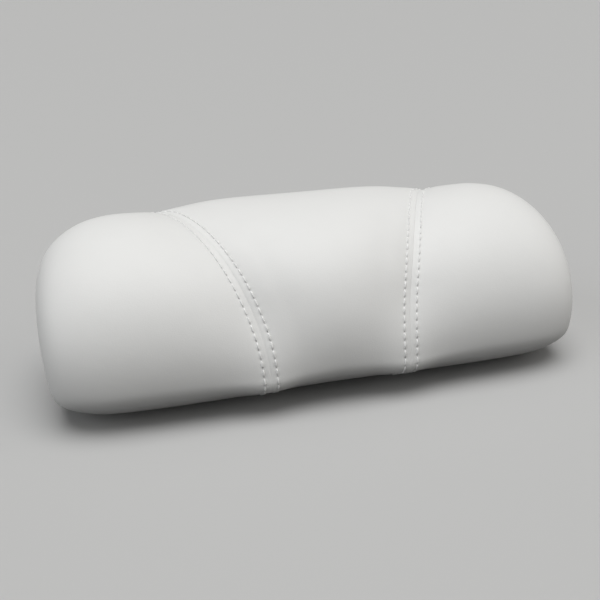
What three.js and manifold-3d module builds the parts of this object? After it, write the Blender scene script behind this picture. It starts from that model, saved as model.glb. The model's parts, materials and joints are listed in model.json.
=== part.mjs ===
// A sewn bath pillow: three vinyl panels over foam, on a base board whose two sockets hold suction cups.
// Units are millimetres. X runs along the pillow, +Y points to its upper edge and +Z out of its padded face.
// The origin lies under the middle of the pillow, in the plane of the suction cups' rims.

import * as THREE from 'three';
import { mergeVertices } from 'three/addons/utils/BufferGeometryUtils.js';
import Module from 'manifold-3d';

// Padded form: reaches are measured from the tips of the ends, heights from the underside
const LENGTH = 340;
const FRONT_REACH = 65.8;
const BACK_REACH = 78.1;
const BODY_HEIGHT = 103.7;
const WIDEST_HEIGHT = 23.8;
const LONGEST_HEIGHT = 64.1;
const CROWN_SET_BACK = 27.3;
const EDGE_ROLL = 31.3;
const END_DROP = 3.5;
const UNDER_TUCK = 6.1;
const CROWN_TUCK = 5.1;

// How square the form is: 2 is an ellipse, more is squarer
const FRONT_SQUARENESS = 7.2;
const BACK_SQUARENESS = 2.67;
const CROWN_SQUARENESS = 5.95;
const UNDER_SQUARENESS = 10;
const FACE_SQUARENESS = 1.97;
const NAPE_SQUARENESS = 2.5;
const ROLL_SQUARENESS = 1.96;

// Section angles in degrees: 0 at the back edge, 90 at the crown, 180 at the front edge, 270 underneath
const ROLL_SPAN = 75;
const SEAM_END_FRONT = 248;
const SEAM_END_BACK = -57;

// Seams: each lies this far from the middle at the front and at the back edge, and is drawn into the foam
const SEAM_FRONT = 44;
const SEAM_BACK = 126;
const GROOVE_WIDTH = 22.3;
const GROOVE_SHARPNESS = 1.29;
const CROWN_GROOVE = 7.3;
const FACE_GROOVE = 7;
const TOE_BULGE = 4.5;
const CROWN_DIP = 2;
const FACE_SWELL = 2.4;
const EDGE_SWELL = 1;
const SEAM_TOE_REACH = 4.5;

// Depth of the seams and swelling of the centre, each at its section angle
const GROOVE_DEPTHS = [
  [0, 0], [55, CROWN_GROOVE], [90, CROWN_GROOVE], [148, FACE_GROOVE], [193, -TOE_BULGE], [215, 0], [360, 0],
];
const CENTRE_SWELL = [
  [0, 0], [55, -CROWN_DIP], [90, -CROWN_DIP], [140, FACE_SWELL], [180, EDGE_SWELL], [225, 0], [360, 0],
];

// Cover, seam tape and thread
const COVER_THICKNESS = 1.2;
const SEAM_GAP = 0.4;
const STITCH_GAUGE = 8;
const STITCH_PITCH = 5.3;
const TAPE_PAST_STITCHES = 2.5;
const TAPE_THICKNESS = 1;
const TAPE_SIDE_ROOM = 1.5;
const THREAD_RADIUS = 0.5;
const NEEDLE_HOLE_RADIUS = 0.22;

// Back opening, base board and clearances
const STANDOFF = 4;
const CLEARANCE = 0.3;
const HEM_AT_ENDS = 36;
const OPENING_CORNER = 30;
const BOARD_THICKNESS = 4;
const BOARD_INSET = 1.2;
const BOARD_PAST_FLANGE = 4;

// Suction cup
const CUP_DIAMETER = 42;
const CUP_RIM_WIDTH = 2;
const CUP_RIM_THICKNESS = 0.9;
const CUP_HOLLOW = 6.5;
const CUP_WEB = 1.7;
const CUP_NECK_DIAMETER = 16;
const CUP_NECK_LIP = 2;

// Cup stud
const SHANK_DIAMETER = 6;
const FOOT_DIAMETER = 10;
const FOOT_HEIGHT = 2.2;
const HEAD_DIAMETER = 13;
const HEAD_HEIGHT = 3;
const HEAD_CHAMFER = 0.8;

// Cup socket
const CUP_FROM_OPENING_END = 39;
const KEYHOLE_TRAVEL = 12;
const SLOT_CLEARANCE = 0.4;
const ENTRY_CLEARANCE = 0.75;
const DISH_CLEARANCE = 1.5;
const DISH_WALL = 1.8;
const DISH_FLOOR = 2.5;
const DISH_FLOOR_GAP = 0.6;
const FLANGE_THICKNESS = 2;
const FLANGE_AT_SIDES = 7.5;
const FLANGE_AT_ENDS = 3.5;
const FLANGE_CORNER = 26;
const HEAD_ROOM = 1;

// Countersunk socket screw
const SCREW_DIAMETER = 2.6;
const SCREW_HEAD_DIAMETER = 5.6;
const SCREW_HEAD_SINK = 0.2;
const SCREW_POINT = 1.2;
const SCREW_SHORT_OF_BOARD = 0.6;
const CROSS_WIDTH = 0.7;
const CROSS_LENGTH = 3;
const CROSS_DEPTH = 0.8;

// Steps of the meshes
const SECTION_STEPS = 28;
const END_STEPS = 11;
const CENTRE_STEPS = 8;
const TRACK_SAMPLES = 240;
const ROUND_STEPS = 24;
const SMALL_ROUND_STEPS = 16;
const ARC_STEPS = 6;
const DOME_STEPS = 4;
const WELD_DISTANCE = 1e-4;
const SLIVER_HEIGHT = 2e-3;

// Heights of the stack, from the rim plane up
const FLANGE_TOP = STANDOFF - CLEARANCE;
const FLANGE_BOTTOM = FLANGE_TOP - FLANGE_THICKNESS;
const PANEL_TOP = STANDOFF + COVER_THICKNESS;
const BOARD_BOTTOM = PANEL_TOP + CLEARANCE;
const BOARD_TOP = BOARD_BOTTOM + BOARD_THICKNESS;
const FOOT_BOTTOM = CUP_HOLLOW + CUP_WEB + CLEARANCE;
const FOOT_TOP = FOOT_BOTTOM + FOOT_HEIGHT;
const CUP_HEIGHT = FOOT_TOP + CLEARANCE + CUP_NECK_LIP;
const FLOOR_BOTTOM = CUP_HEIGHT + DISH_FLOOR_GAP;
const FLOOR_TOP = FLOOR_BOTTOM + DISH_FLOOR;
const HEAD_BOTTOM = FLOOR_TOP + CLEARANCE;
const HEAD_TOP = HEAD_BOTTOM + HEAD_HEIGHT;

// Radii and outlines of the sockets, and the opening that they need
const DISH_INNER = CUP_DIAMETER / 2 + DISH_CLEARANCE;
const DISH_OUTER = DISH_INNER + DISH_WALL;
const SLOT_RADIUS = SHANK_DIAMETER / 2 + SLOT_CLEARANCE;
const ENTRY_RADIUS = HEAD_DIAMETER / 2 + ENTRY_CLEARANCE;
const FLANGE_WIDTH = 2 * (DISH_OUTER + FLANGE_AT_SIDES);
const FLANGE_LENGTH = 2 * (DISH_OUTER + FLANGE_AT_ENDS) + KEYHOLE_TRAVEL;
const OPENING_LENGTH = LENGTH - 2 * HEM_AT_ENDS;
const OPENING_WIDTH = FLANGE_LENGTH + 2 * BOARD_PAST_FLANGE;
const CUP_X = OPENING_LENGTH / 2 - CUP_FROM_OPENING_END;
const CUP_REST_Y = KEYHOLE_TRAVEL / 2;
const SCREW_OFFSET = DISH_OUTER + FLANGE_AT_SIDES / 2;
const TIP_Y = (FRONT_REACH + SEAM_TOE_REACH - BACK_REACH) / 2;
const HALF_LENGTH = LENGTH / 2;
const TAPE_HALF_WIDTH = STITCH_GAUGE / 2 + TAPE_PAST_STITCHES;
const RELIEF_HALF_WIDTH = TAPE_HALF_WIDTH + TAPE_SIDE_ROOM;
const FOAM_INSET = COVER_THICKNESS + CLEARANCE;
const FOAM_INSET_AT_TAPE = FOAM_INSET + TAPE_THICKNESS + CLEARANCE;

const wasm = await Module();
wasm.setup();

// Plain solids and mesh helpers

function facingOut(geometry) {
  const index = geometry.index.array;
  const corner = [new THREE.Vector3(), new THREE.Vector3(), new THREE.Vector3()];
  let volume = 0;
  for (let i = 0; i < index.length; i += 3) {
    corner.forEach((point, k) => point.fromBufferAttribute(geometry.attributes.position, index[i + k]));
    volume += corner[0].dot(corner[1].clone().cross(corner[2]));
  }
  if (volume < 0) {
    for (let i = 0; i < index.length; i += 3) {
      [index[i], index[i + 1]] = [index[i + 1], index[i]];
    }
  }
  return geometry;
}

function weld(geometry) {
  geometry.deleteAttribute('normal');
  geometry.deleteAttribute('uv');
  const merged = mergeVertices(geometry, WELD_DISTANCE);
  const index = merged.index.array;
  const kept = [];
  for (let i = 0; i < index.length; i += 3) {
    const [a, b, c] = [index[i], index[i + 1], index[i + 2]];
    if (a !== b && b !== c && c !== a) {
      kept.push(a, b, c);
    }
  }
  merged.setIndex(kept);
  return facingOut(merged);
}

function solid(geometry) {
  return new wasm.Manifold(new wasm.Mesh({
    numProp: 3,
    vertProperties: geometry.attributes.position.array,
    triVerts: Uint32Array.from(geometry.index.array),
  }));
}

// Needle-thin facets: for each, its longest edge and the height over it.
function longestEdge(geometry, start) {
  const index = geometry.index.array;
  const corners = [0, 1, 2].map((k) => (
    new THREE.Vector3().fromBufferAttribute(geometry.attributes.position, index[start + k])
  ));
  const lengths = corners.map((corner, k) => corner.distanceTo(corners[(k + 1) % 3]));
  const k = lengths.indexOf(Math.max(...lengths));
  const doubleArea = corners[1].sub(corners[0]).cross(corners[2].sub(corners[0])).length();
  const [a, b, c] = [0, 1, 2].map((turn) => index[start + (k + turn) % 3]);
  return { a, b, c, height: doubleArea / lengths[k] };
}

// Turns the longest edge of a needle-thin facet, left by a cut along a straight run of corners.
function turnSlivers(geometry) {
  const index = geometry.index.array;
  const starts = Array.from({ length: index.length / 3 }, (_, k) => 3 * k);
  const isSliver = (start) => longestEdge(geometry, start).height < SLIVER_HEIGHT;
  let waiting = starts.filter(isSliver);
  for (let left = waiting.length; left > 0; left -= 1) {
    for (const start of waiting) {
      const { a, b, c } = longestEdge(geometry, start);
      const ends = (other, k) => index[other + k] === b && index[other + (k + 1) % 3] === a;
      const across = starts.find((other) => [0, 1, 2].some((k) => ends(other, k)));
      if (!isSliver(across)) {
        const d = [0, 1, 2].map((k) => index[across + k]).find((corner) => corner !== a && corner !== b);
        index.set([a, d, c], start);
        index.set([d, b, c], across);
      }
    }
    waiting = waiting.filter(isSliver);
  }
  return geometry;
}

function geometryOf(body) {
  const mesh = body.getMesh();
  const geometry = new THREE.BufferGeometry();
  geometry.setAttribute('position', new THREE.BufferAttribute(mesh.vertProperties, 3));
  geometry.setIndex(new THREE.BufferAttribute(mesh.triVerts, 1));
  return turnSlivers(geometry);
}

function cut(geometry, ...tools) {
  const body = tools.reduce((rest, tool) => rest.subtract(solid(tool)), solid(geometry));
  return geometryOf(body);
}

function join(first, ...others) {
  const body = others.reduce((sum, other) => sum.add(solid(other)), solid(first));
  return geometryOf(body);
}

// Corners of the triangles that join each row of points, closed on itself, to the next row.
function strips(rows, inward = false) {
  const corners = [];
  for (let i = 0; i + 1 < rows.length; i += 1) {
    const [near, far] = [rows[i], rows[i + 1]];
    near.forEach((point, j) => {
      const k = (j + 1) % near.length;
      const [first, second] = inward ? [near[k], far[j]] : [far[j], near[k]];
      corners.push(point, first, second, far[k], second, first);
    });
  }
  return corners;
}

function skin(rows) {
  return weld(new THREE.BufferGeometry().setFromPoints(strips(rows)));
}

// Wall between an outer and an inner skin whose facets lie along each other.
function shell(outer, inner) {
  const last = outer.length - 1;
  return weld(new THREE.BufferGeometry().setFromPoints([
    ...strips(outer),
    ...strips(inner, true),
    ...strips([outer[last], inner[last]]),
    ...strips([inner[0], outer[0]]),
  ]));
}

function middleOf(row) {
  const sum = row.reduce((total, point) => total.add(point), new THREE.Vector3());
  return row.map(() => sum.clone().divideScalar(row.length));
}

function cappedSkin(rows) {
  return skin([middleOf(rows[0]), ...rows, middleOf(rows[rows.length - 1])]);
}

function revolve(profile, steps) {
  const points = profile.map(([radius, height]) => new THREE.Vector2(radius, height));
  const geometry = new THREE.LatheGeometry(points, steps);
  geometry.rotateX(Math.PI / 2);
  return weld(geometry);
}

function plate(outline, bottom, top) {
  const geometry = new THREE.ExtrudeGeometry(outline, {
    depth: top - bottom,
    bevelEnabled: false,
    curveSegments: ARC_STEPS,
  });
  geometry.translate(0, 0, bottom);
  return weld(geometry);
}

function roundedRectangle(width, length, corner) {
  const [x, y] = [width / 2 - corner, length / 2 - corner];
  const shape = new THREE.Shape();
  shape.absarc(x, y, corner, 0, Math.PI / 2);
  shape.absarc(-x, y, corner, Math.PI / 2, Math.PI);
  shape.absarc(-x, -y, corner, Math.PI, 1.5 * Math.PI);
  shape.absarc(x, -y, corner, 1.5 * Math.PI, 2 * Math.PI);
  shape.closePath();
  return shape;
}

// Slot with round ends that runs along Y, from the middle of one end to the middle of the other.
function slotOutline(radius, travel, x = 0) {
  const shape = new THREE.Shape();
  shape.absarc(x, travel / 2, radius, 0, Math.PI);
  shape.absarc(x, -travel / 2, radius, Math.PI, 2 * Math.PI);
  shape.closePath();
  return shape;
}

function circleOutline(radius, x) {
  const shape = new THREE.Shape();
  shape.absarc(x, 0, radius, 0, 2 * Math.PI);
  return shape;
}

function openingOutline(inset) {
  return roundedRectangle(OPENING_LENGTH - 2 * inset, OPENING_WIDTH - 2 * inset, OPENING_CORNER - inset);
}

// The padded form

function superellipse(u, squareness) {
  return Math.max(0, 1 - Math.abs(u) ** squareness) ** (1 / squareness);
}

function smoothStep(t) {
  const held = THREE.MathUtils.clamp(t, 0, 1);
  return held * held * (3 - 2 * held);
}

function between(stations, angle) {
  const last = stations.findIndex(([station]) => station > angle);
  const k = last < 0 ? stations.length - 1 : last;
  const [[from, low], [to, high]] = [stations[k - 1], stations[k]];
  return low + (high - low) * smoothStep((angle - from) / (to - from));
}

function fullTurn(angle) {
  return ((angle % 360) + 360) % 360;
}

// Point of the form before its seams are drawn in. u runs from -1 to 1 along the length.
function formPoint(u, sectionAngle) {
  const angle = fullTurn(sectionAngle);
  const frontScale = superellipse(u, FRONT_SQUARENESS);
  const backScale = superellipse(u, BACK_SQUARENESS);
  const front = -FRONT_REACH * frontScale;
  const back = BACK_REACH * backScale;
  const crown = CROWN_SET_BACK * Math.min(frontScale, backScale);
  const widest = WIDEST_HEIGHT - END_DROP * u ** 6;
  let y;
  let z;
  if (angle <= 180) {
    const turn = THREE.MathUtils.degToRad(angle);
    const power = 2 / (angle > 90 ? FACE_SQUARENESS : NAPE_SQUARENESS);
    const reach = angle > 90 ? front - crown : back - crown;
    y = crown + reach * Math.abs(Math.cos(turn)) ** power;
    z = widest + (BODY_HEIGHT - widest) * superellipse(u, CROWN_SQUARENESS) * Math.sin(turn) ** power;
  } else {
    const isFront = angle < 270;
    const below = isFront ? angle - 180 : 360 - angle;
    const turn = Math.min(1, below / ROLL_SPAN) * Math.PI / 2;
    const power = 2 / ROLL_SQUARENESS;
    const roll = EDGE_ROLL * (isFront ? frontScale : backScale) * (1 - Math.max(0, Math.cos(turn)) ** power);
    const flat = Math.max(0, (below - ROLL_SPAN) / (90 - ROLL_SPAN));
    y = THREE.MathUtils.lerp(isFront ? front + roll : back - roll, (front + back) / 2, flat);
    z = widest - widest * superellipse(u, UNDER_SQUARENESS) * Math.sin(turn) ** power;
  }
  const under = Math.max(0, (LONGEST_HEIGHT - z) / LONGEST_HEIGHT) ** 2;
  const over = Math.max(0, (z - LONGEST_HEIGHT) / (BODY_HEIGHT - LONGEST_HEIGHT)) ** 2;
  const x = u * (HALF_LENGTH - UNDER_TUCK * under - CROWN_TUCK * over);
  return new THREE.Vector3(x, TIP_Y + y, STANDOFF + z);
}

function formNormal(u, angle) {
  const [uStep, angleStep] = [1e-4, 0.2];
  if (Math.abs(u) > 1 - uStep) {
    return new THREE.Vector3(Math.sign(u), 0, 0);
  }
  const along = formPoint(u + uStep, angle).sub(formPoint(u - uStep, angle));
  const around = formPoint(u, angle + angleStep).sub(formPoint(u, angle - angleStep));
  return around.cross(along).normalize();
}

// Half the distance between the seams: it flares over the crown and is straight down the front.
function seamSpread(sectionAngle) {
  const angle = fullTurn(sectionAngle);
  const flare = (1 + Math.cos(THREE.MathUtils.degToRad(angle))) / 2;
  const underneath = smoothStep((angle - 180 - ROLL_SPAN) / (180 - 2 * ROLL_SPAN));
  const share = angle <= 180 ? flare : underneath;
  return SEAM_FRONT + (SEAM_BACK - SEAM_FRONT) * share;
}

// Point of the skin: the form with its seams drawn in and its centre swollen, moved inwards by an inset.
function skinPoint(u, sectionAngle, inset) {
  const angle = fullTurn(sectionAngle);
  const distance = Math.abs(u) * HALF_LENGTH;
  const spread = seamSpread(angle);
  const fade = Math.exp(-((Math.abs(distance - spread) / GROOVE_WIDTH) ** GROOVE_SHARPNESS)) * (1 - u ** 8);
  const swell = between(CENTRE_SWELL, angle) * Math.max(0, 1 - (distance / spread) ** 2);
  const lift = swell - between(GROOVE_DEPTHS, angle) * fade - inset;
  return formPoint(u, angle).addScaledVector(formNormal(u, angle), lift);
}

// Place along the length that lies at a distance from a seam, measured square to the seam.
function besideSeam(distance, angle) {
  const step = 0.5;
  const seamPoint = (at) => formPoint(seamSpread(at) / HALF_LENGTH, at);
  const track = seamPoint(angle + step).sub(seamPoint(angle - step));
  const stretch = track.length() / Math.hypot(track.y, track.z);
  return (seamSpread(angle) + distance * stretch) / HALF_LENGTH;
}

// Place between a start and the tip of an end, spaced evenly round the end.
function towardsTip(start, share) {
  const squareness = CROWN_SQUARENESS;
  const turn = Math.atan2(superellipse(start, squareness), start) * (1 - share);
  const [c, s] = [Math.cos(turn), Math.sin(turn)];
  return c / (c ** squareness + s ** squareness) ** (1 / squareness);
}

const SECTION_STEP = 360 / SECTION_STEPS;
const sectionAngles = Array.from({ length: SECTION_STEPS }, (_, k) => k * SECTION_STEP);

// Distances from a seam at which a panel or its foam has a mesh line: its edge, its stitches and its relief.
function seamBands(edge) {
  return [edge, STITCH_GAUGE / 2, RELIEF_HALF_WIDTH];
}

// Lines of an end panel, from its seam to the tip of the pillow: each gives u for a section angle.
function endLines(edge) {
  const seamLines = seamBands(edge).map((distance) => (angle) => besideSeam(distance, angle));
  const tipLines = Array.from({ length: END_STEPS }, (_, k) => (angle) => (
    towardsTip(besideSeam(RELIEF_HALF_WIDTH, angle), (k + 1) / END_STEPS)
  ));
  return [...seamLines, ...tipLines];
}

// Lines of the centre panel, from its left seam to its right seam.
function centreLines(edge) {
  const right = seamBands(edge).map((distance) => (angle) => besideSeam(-distance, angle));
  const left = right.map((line) => (angle) => -line(angle));
  const middle = Array.from({ length: CENTRE_STEPS - 1 }, (_, k) => (angle) => (
    besideSeam(-RELIEF_HALF_WIDTH, angle) * (2 * (k + 1) / CENTRE_STEPS - 1)
  ));
  return [...left, ...middle, ...right.reverse()];
}

function gridRows(lines, side, insetOf) {
  return lines.map((line, k) => (
    sectionAngles.map((angle) => skinPoint(side * line(angle), angle, insetOf(k)))
  ));
}

// Vinyl panels

function coverPanel(lines, side) {
  const outer = gridRows(lines, side, () => 0);
  const inner = gridRows(lines, side, () => COVER_THICKNESS);
  return cut(shell(outer, inner), plate(openingOutline(0), 0, BOARD_TOP));
}

function backPanel() {
  const outline = openingOutline(CLEARANCE);
  outline.holes = socketHoles();
  return plate(outline, STANDOFF, PANEL_TOP);
}

function socketHoles() {
  return [-1, 1].flatMap((side) => [
    slotOutline(DISH_OUTER + CLEARANCE, KEYHOLE_TRAVEL, side * CUP_X),
    circleOutline(SCREW_DIAMETER / 2 + CLEARANCE, side * CUP_X - SCREW_OFFSET),
    circleOutline(SCREW_DIAMETER / 2 + CLEARANCE, side * CUP_X + SCREW_OFFSET),
  ]);
}

// Seam tape: a flat strip behind the seam, between cover and foam, with its folds where the cover has them
function seamTape(side) {
  const across = [-TAPE_HALF_WIDTH, 0, TAPE_HALF_WIDTH];
  const rows = [];
  for (let k = Math.ceil(SEAM_END_BACK / SECTION_STEP); k <= SEAM_END_FRONT / SECTION_STEP; k += 1) {
    const angle = k * SECTION_STEP;
    const places = across.map((distance) => side * besideSeam(distance, angle));
    const outer = places.map((u) => skinPoint(u, angle, FOAM_INSET));
    const inner = places.map((u) => skinPoint(u, angle, FOAM_INSET + TAPE_THICKNESS));
    rows.push([...outer, ...inner.reverse()]);
  }
  return cut(cappedSkin(rows), boardSpace());
}

// Stitch row: one thread that swells in every stitch and thins at every needle hole
function stitchRow(side, distance) {
  const lift = -(THREAD_RADIUS + CLEARANCE);
  const place = (angle) => skinPoint(side * besideSeam(distance, angle), angle, lift);
  const angles = Array.from({ length: TRACK_SAMPLES + 1 }, (_, k) => (
    THREE.MathUtils.lerp(SEAM_END_BACK, SEAM_END_FRONT, k / TRACK_SAMPLES)
  ));
  const track = new THREE.CatmullRomCurve3(angles.map(place));
  track.arcLengthDivisions = TRACK_SAMPLES;
  const halves = 2 * Math.round(track.getLength() / STITCH_PITCH);
  const rows = [];
  for (let k = 0; k <= halves; k += 1) {
    const share = track.getUtoTmapping(k / halves);
    const angle = THREE.MathUtils.lerp(SEAM_END_BACK, SEAM_END_FRONT, share);
    const outward = formNormal(side * besideSeam(distance, angle), angle);
    const along = track.getTangent(share);
    const sideways = along.clone().cross(outward).normalize();
    const radius = k % 2 ? THREAD_RADIUS : NEEDLE_HOLE_RADIUS;
    const centre = track.getPoint(share);
    const spokes = [0, 1, 2].map((third) => sideways.clone().applyAxisAngle(along, third * 2 * Math.PI / 3));
    rows.push(spokes.map((spoke) => centre.clone().addScaledVector(spoke, radius)));
  }
  return cappedSkin(rows);
}

// Foam: the form inside the cover, relieved behind the seam tape and round the hardware

// Inset of a foam line, by how many lines it lies from the seam.
function insetBySeam(linesAway) {
  return linesAway < seamBands(SEAM_GAP).length ? FOAM_INSET_AT_TAPE : FOAM_INSET;
}

function boardSpace() {
  return plate(openingOutline(BOARD_INSET - CLEARANCE), 0, BOARD_TOP + CLEARANCE);
}

function hardwarePockets() {
  const sockets = [-1, 1].flatMap((side) => [
    plate(slotOutline(DISH_OUTER + CLEARANCE, KEYHOLE_TRAVEL, side * CUP_X), 0, FLOOR_TOP + CLEARANCE),
    plate(slotOutline(ENTRY_RADIUS, KEYHOLE_TRAVEL, side * CUP_X), 0, HEAD_TOP + HEAD_ROOM),
  ]);
  return [boardSpace(), ...sockets];
}

function foamBolster(side) {
  const rows = gridRows(endLines(SEAM_GAP), side, insetBySeam);
  return cut(skin([middleOf(rows[0]), ...rows]), ...hardwarePockets());
}

function foamPad() {
  const lines = centreLines(SEAM_GAP);
  const insetOf = (k) => insetBySeam(Math.min(k, lines.length - 1 - k));
  return cut(cappedSkin(gridRows(lines, 1, insetOf)), ...hardwarePockets());
}

// Rigid pieces: those of a cup station are modelled about the middle of its keyhole

function baseBoard() {
  const outline = openingOutline(BOARD_INSET);
  outline.holes = socketHoles();
  return plate(outline, BOARD_BOTTOM, BOARD_TOP);
}

function keyholeOutline() {
  const [restY, entryY] = [KEYHOLE_TRAVEL / 2, -KEYHOLE_TRAVEL / 2];
  const meet = Math.acos(SLOT_RADIUS / ENTRY_RADIUS);
  const outline = new THREE.Shape();
  outline.absarc(0, restY, SLOT_RADIUS, 0, Math.PI);
  outline.absarc(0, entryY, ENTRY_RADIUS, Math.PI - meet, 2 * Math.PI + meet);
  outline.closePath();
  return outline;
}

function screwProfile(growth, bottom, top) {
  const headBottom = FLANGE_BOTTOM + SCREW_HEAD_SINK;
  const [head, shank] = [SCREW_HEAD_DIAMETER / 2 + growth, SCREW_DIAMETER / 2 + growth];
  return [[0, bottom], [head, bottom], [head, headBottom], [shank, headBottom + head - shank], [shank, top]];
}

function cupSocket() {
  const flangeOutline = roundedRectangle(FLANGE_WIDTH, FLANGE_LENGTH, FLANGE_CORNER);
  const flange = plate(flangeOutline, FLANGE_BOTTOM, FLANGE_TOP);
  const dish = plate(slotOutline(DISH_OUTER, KEYHOLE_TRAVEL), FLANGE_BOTTOM, FLOOR_TOP);
  const hollow = plate(slotOutline(DISH_INNER, KEYHOLE_TRAVEL), 0, FLOOR_BOTTOM);
  const keyhole = plate(keyholeOutline(), 0, HEAD_TOP);
  const hole = revolve([...screwProfile(CLEARANCE, 0, STANDOFF), [0, STANDOFF]], SMALL_ROUND_STEPS);
  const holes = [-1, 1].map((side) => hole.clone().translate(side * SCREW_OFFSET, 0, 0));
  return cut(join(flange, dish), hollow, keyhole, ...holes);
}

function socketScrew() {
  const end = BOARD_TOP - SCREW_SHORT_OF_BOARD;
  const headBottom = FLANGE_BOTTOM + SCREW_HEAD_SINK;
  const body = revolve([...screwProfile(0, headBottom, end - SCREW_POINT), [0, end]], SMALL_ROUND_STEPS);
  const arms = [[CROSS_LENGTH, CROSS_WIDTH], [CROSS_WIDTH, CROSS_LENGTH]].map(([width, depth]) => {
    const arm = new THREE.BoxGeometry(width, depth, 2 * CROSS_DEPTH);
    return weld(arm.translate(0, 0, headBottom));
  });
  return cut(body, ...arms);
}

function cupStud() {
  const [foot, shank, head] = [FOOT_DIAMETER / 2, SHANK_DIAMETER / 2, HEAD_DIAMETER / 2];
  return revolve([
    [0, FOOT_BOTTOM], [foot, FOOT_BOTTOM], [foot, FOOT_TOP], [shank, FOOT_TOP], [shank, HEAD_BOTTOM],
    [head, HEAD_BOTTOM], [head, HEAD_TOP - HEAD_CHAMFER], [head - HEAD_CHAMFER, HEAD_TOP], [0, HEAD_TOP],
  ], SMALL_ROUND_STEPS);
}

// Arc of a dome about the axis, from its apex down to a foot radius, between two radii.
function domeArc(apex, footRadius, footHeight, fromRadius, toRadius) {
  const rise = apex - footHeight;
  const sphere = (footRadius ** 2 + rise ** 2) / (2 * rise);
  return Array.from({ length: DOME_STEPS + 1 }, (_, k) => {
    const radius = THREE.MathUtils.lerp(fromRadius, toRadius, k / DOME_STEPS);
    return [radius, apex - sphere + Math.sqrt(sphere ** 2 - radius ** 2)];
  });
}

function suctionCup() {
  const rim = CUP_DIAMETER / 2;
  const neck = CUP_NECK_DIAMETER / 2;
  const bore = SHANK_DIAMETER / 2 + CLEARANCE;
  const seat = FOOT_DIAMETER / 2 + CLEARANCE;
  const seatBottom = FOOT_BOTTOM - CLEARANCE;
  const seatTop = FOOT_TOP + CLEARANCE;
  const hollowFoot = rim - CUP_RIM_WIDTH;
  return revolve([
    ...domeArc(CUP_HOLLOW, hollowFoot, 0, 0, hollowFoot),
    [rim, 0],
    ...domeArc(CUP_HOLLOW + CUP_WEB, rim, CUP_RIM_THICKNESS, rim, neck),
    [neck, CUP_HEIGHT], [bore, CUP_HEIGHT], [bore, seatTop],
    [seat, seatTop], [seat, seatBottom], [0, seatBottom],
  ], ROUND_STEPS);
}

// Finishes

function finish(color, roughness, metalness = 0) {
  return new THREE.MeshStandardMaterial({ color, roughness, metalness });
}

const VINYL = finish(0xf0f0ee, 0.5);
const BACKING_VINYL = finish(0xe6e5e1, 0.6);
const THREAD = finish(0xf6f6f4, 0.6);
const TAPE = finish(0xe9e7e0, 0.9);
const FOAM = finish(0xe9e2c8, 0.95);
const BOARD_PLASTIC = finish(0xd9d9d6, 0.6);
const SOCKET_PLASTIC = finish(0xe4e4e1, 0.45);
const STUD_PLASTIC = finish(0xdcdcd8, 0.4);
const CUP_RUBBER = finish(0xc9d3d4, 0.2);
const STEEL = finish(0xb4b6b8, 0.35, 0.9);

// Assembly

const pillow = new THREE.Group();

function place(name, geometry, material, parent = pillow) {
  geometry.computeVertexNormals();
  const piece = new THREE.Mesh(geometry, material);
  piece.name = name;
  parent.add(piece);
  return piece;
}

place('centre_cover_panel', coverPanel(centreLines(SEAM_GAP / 2), 1), VINYL);
place('centre_foam_pad', foamPad(), FOAM);
place('back_panel', backPanel(), BACKING_VINYL);
place('base_board', baseBoard(), BOARD_PLASTIC);

for (const [hand, side] of [['left', -1], ['right', 1]]) {
  place(`${hand}_cover_panel`, coverPanel(endLines(SEAM_GAP / 2), side), VINYL);
  place(`${hand}_foam_bolster`, foamBolster(side), FOAM);
  place(`${hand}_seam_tape`, seamTape(side), TAPE);
  place(`${hand}_inner_stitch_row`, stitchRow(side, -STITCH_GAUGE / 2), THREAD);
  place(`${hand}_outer_stitch_row`, stitchRow(side, STITCH_GAUGE / 2), THREAD);

  const station = new THREE.Group();
  station.position.x = side * CUP_X;
  pillow.add(station);
  place(`${hand}_cup_socket`, cupSocket(), SOCKET_PLASTIC, station);
  place(`${hand}_inner_screw`, socketScrew(), STEEL, station).position.x = -side * SCREW_OFFSET;
  place(`${hand}_outer_screw`, socketScrew(), STEEL, station).position.x = side * SCREW_OFFSET;
  place(`${hand}_cup_stud`, cupStud(), STUD_PLASTIC, station).position.y = CUP_REST_Y;
  place(`${hand}_suction_cup`, suctionCup(), CUP_RUBBER, station).position.y = CUP_REST_Y;
}

export default pillow;
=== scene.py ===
import json
import math

import bmesh
import bpy
import numpy as np
from mathutils import Matrix, Quaternion, Vector
from mathutils.kdtree import KDTree


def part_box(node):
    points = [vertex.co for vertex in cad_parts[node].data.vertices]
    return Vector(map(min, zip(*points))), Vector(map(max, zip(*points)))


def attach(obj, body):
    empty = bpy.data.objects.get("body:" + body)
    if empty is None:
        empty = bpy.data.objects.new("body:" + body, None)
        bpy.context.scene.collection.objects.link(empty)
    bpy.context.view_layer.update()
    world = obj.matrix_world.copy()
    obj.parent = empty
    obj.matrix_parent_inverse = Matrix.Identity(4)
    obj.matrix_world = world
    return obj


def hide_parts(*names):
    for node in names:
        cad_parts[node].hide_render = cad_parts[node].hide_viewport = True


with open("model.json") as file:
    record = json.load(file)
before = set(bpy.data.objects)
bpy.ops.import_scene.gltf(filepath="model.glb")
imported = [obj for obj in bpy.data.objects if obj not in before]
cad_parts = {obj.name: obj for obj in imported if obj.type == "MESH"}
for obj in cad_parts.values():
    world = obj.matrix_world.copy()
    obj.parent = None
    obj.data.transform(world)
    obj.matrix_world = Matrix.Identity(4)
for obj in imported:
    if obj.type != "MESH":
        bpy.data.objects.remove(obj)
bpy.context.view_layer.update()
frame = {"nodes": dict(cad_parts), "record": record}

# Padded form, in metres: reaches are measured from the tips of the ends, heights from the underside
LENGTH = 0.340
FRONT_REACH = 0.0658
BACK_REACH = 0.0781
BODY_HEIGHT = 0.1037
WIDEST_HEIGHT = 0.0238
LONGEST_HEIGHT = 0.0641
CROWN_SET_BACK = 0.0273
EDGE_ROLL = 0.0313
END_DROP = 0.0035
UNDER_TUCK = 0.0061
CROWN_TUCK = 0.0051
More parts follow.
